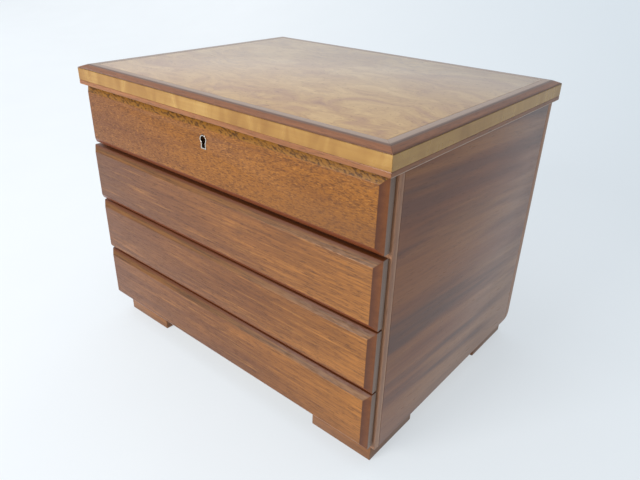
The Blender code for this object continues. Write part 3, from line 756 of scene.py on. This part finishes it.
dress(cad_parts["lid_core"], board_across)
rail_tones = ((0.30, 0.120, 0.045), (0.17, 0.064, 0.026))
moulding_tones = ((0.250, 0.100, 0.042), (0.140, 0.052, 0.024))
lid_woods = {
    "rail": [lid_mahogany(f"rail_mahogany_{a}", a, *rail_tones) for a in "XY"],
    # The side strips' maple is a lighter copy: painted light
    "band": [figured_maple("band_maple_X", "X", 0.0), figured_maple("band_maple_Y", "Y", 0.25)],
    "moulding": [lid_mahogany(f"moulding_mahogany_{a}", a, *moulding_tones) for a in "XY"],
}
layers = {"rail": ("mahogany", 0.6, 0.28), "band": ("maple", 0.10, 0.0),
          "moulding": ("mahogany", 0.15, 0.0)}
for layer, (slot, width, up) in layers.items():
    for edge in ("front", "back", "left", "right"):
        along = 0 if edge in ("front", "back") else 1
        strip = worked_copy(f"lid_{layer}_{edge}", "lid")
        close_joints(strip, along, up)
        round_long_edges(strip, along, width)
        dress(strip, lid_woods[layer][along])
panel = worked_copy("lid_burr_panel", "lid")
ease_arrises(panel, 0.1)
dress(panel, burr_veneer())


# ---- Inside of the lid ----
# A bevelled looking-glass in a stuffed velvet surround, glued to the underside of the core.

def looking_glass():
    material, place = new_finish("looking_glass")
    haze = spread(figure(place, (0.03, 0.03), detail=3.0), 0.4, 0.7)
    tone = tint(haze, (0.88, 0.90, 0.89), (0.82, 0.84, 0.84))
    return finish(material, tone, 0.02 + haze * 0.02, fixed={"Metallic": 1.0})


mirror = worked_copy("lid_mirror", "lid")
ease_arrises(mirror, 1.0, steps=1)
dress(mirror, looking_glass())
low, high = [Vector(corner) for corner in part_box("lid_lining")]
inset = 0.3 * mm
mirror_opening = (100.5, 70.5)  # half of each way
pad_low = Vector((low.x + inset, low.y + inset, high.z - 2.0 * mm))
pad_high = Vector((high.x - inset, high.y - inset, high.z - 0.1 * mm))
surround = stuffed_pad("lid_surround_pad", pad_low, pad_high, 1.1, opening=mirror_opening, up=-1.0)
dress(surround, velvet)
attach(surround, "lid")
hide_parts("lid_lining")


# ---- Hinges ----
# Two brass butt hinges let into the back of the case and into the lid rail, their knuckles
# standing clear behind the case. Three slotted screws hold each leaf.

screw_spots = ((-14.0, 114.0), (0.0, 116.2), (14.0, 114.0))  # along the leaf, and back
leaves = {"case": (1, 240.6 - sunk), "lid": (-1, 241.0 + sunk)}  # facing up or down, and height
for side in ("left", "right"):
    for owner, (facing, height) in leaves.items():
        node = f"hinge_{side}_{owner}_leaf"
        leaf = worked_copy(node, owner)
        ease_arrises(leaf, 0.1, steps=1)
        dress(leaf, brass)
        centre = sum(corner[0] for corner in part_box(node)) / 2
        for number, (across, deep) in enumerate(screw_spots):
            spot = (centre + across * mm, deep * mm, height * mm)
            slotted_screw(f"hinge_{side}_{owner}_screw_{number}", spot, facing,
                          25 + 47 * number, screw_brass, owner)


# ---- Stage ----
# A sheet of pale paper that runs back and up behind the chest. It glows a little as painted
# light and is painted darker to the back right, where it glows less. A low wide window in front
# and to the left, a soft ceiling light, one more on the paper behind to the left, and a dim room.

bpy.ops.object.select_all(action="DESELECT")
paper_width, bend_start, bend, upright = 16.0, 0.75, 1.2, 1.6
bpy.ops.mesh.primitive_plane_add(size=paper_width, location=(0.0, bend_start - paper_width / 2, 0.0))
paper = bpy.context.object
paper.name = "paper_sweep"
bpy.ops.object.transform_apply(location=True, rotation=True, scale=True)
bpy.ops.object.mode_set(mode="EDIT")
bpy.ops.mesh.select_mode(type="EDGE")
bpy.ops.mesh.select_all(action="DESELECT")
bpy.ops.object.mode_set(mode="OBJECT")
for edge in paper.data.edges:
    edge.select = all(paper.data.vertices[i].co.y > 0.0 for i in edge.vertices)
bpy.ops.object.mode_set(mode="EDIT")
turns = [math.radians(degrees) for degrees in range(0, 91, 6)]
curve = [(bend * math.sin(turn), bend - bend * math.cos(turn)) for turn in turns]
for (y0, z0), (y1, z1) in zip(curve, curve[1:] + [(bend, bend + upright)]):
    bpy.ops.mesh.extrude_region_move(TRANSFORM_OT_translate={"value": (0.0, y1 - y0, z1 - z0)})
bpy.ops.object.mode_set(mode="OBJECT")
bpy.ops.object.shade_smooth()
paper_finish, place = new_finish("pale_paper")
mottle = figure(place, (0.008, 0.008), detail=2.0)
# Painted fall-off of light: the paper darkens and glows less to the back right
falling_off = spread(part_of(place, "X") * 0.77 + part_of(place, "Y") * 0.64, -300.0, 800.0)
paper_tone = tint(mottle, (0.265, 0.28, 0.295), (0.29, 0.305, 0.32))
paper_tone = tint(falling_off, paper_tone, (0.245, 0.262, 0.28))
glow = tint(falling_off, (0.93, 0.965, 0.99), (0.72, 0.79, 0.84))
paper_finish.node_tree.links.new(
    glow.socket, paper_finish.node_tree.nodes["Principled BSDF"].inputs["Emission Color"])
finish(paper_finish, paper_tone, 0.85 + mottle * 0.1, fixed={"IOR": 1.2, "Emission Strength": 0.61})
paper.data.materials.append(paper_finish)


def soft_light(name, place, target, width, height, power, colour):
    bpy.ops.object.light_add(type="AREA", location=place)
    lamp = bpy.context.object
    lamp.name = name
    lamp.data.shape = "RECTANGLE"
    lamp.data.size = width
    lamp.data.size_y = height
    lamp.data.energy = power
    lamp.data.color = colour
    lamp.rotation_euler = (Vector(target) - Vector(place)).to_track_quat("-Z", "Y").to_euler()


soft_light("window", (-0.42, -1.86, 0.82), (0.0, 0.0, 0.12), 0.9, 0.8, 41.0, (1.0, 0.985, 0.96))
soft_light("ceiling", (-0.3, -0.2, 2.1), (0.0, 0.0, 0.0), 2.4, 2.4, 20.0, (0.97, 0.985, 1.0))
soft_light("paper_light", (-2.6, -0.3, 1.4), (-2.4, 1.6, 0.6), 1.6, 1.0, 22.0, (0.96, 0.985, 1.0))

room = bpy.data.worlds.new("dim_room")
room.use_nodes = True
room.node_tree.nodes["Background"].inputs["Color"].default_value = (0.84, 0.92, 1.0, 1.0)
room.node_tree.nodes["Background"].inputs["Strength"].default_value = 0.50
bpy.context.scene.world = room
bpy.context.scene.view_settings.view_transform = "Standard"


# ---- Camera ----
# It stands off the near right corner of the chest and looks down on the lid.

bpy.ops.object.camera_add(location=(0.3287, -0.3895, 0.3597),
                          rotation=[math.radians(a) for a in (62.642, -1.469, 40.225)])
camera = bpy.context.object
camera.data.lens = 32.564
camera.data.shift_x = -0.0002
camera.data.shift_y = -0.0019
camera.data.clip_start = 0.01
bpy.context.scene.camera = camera
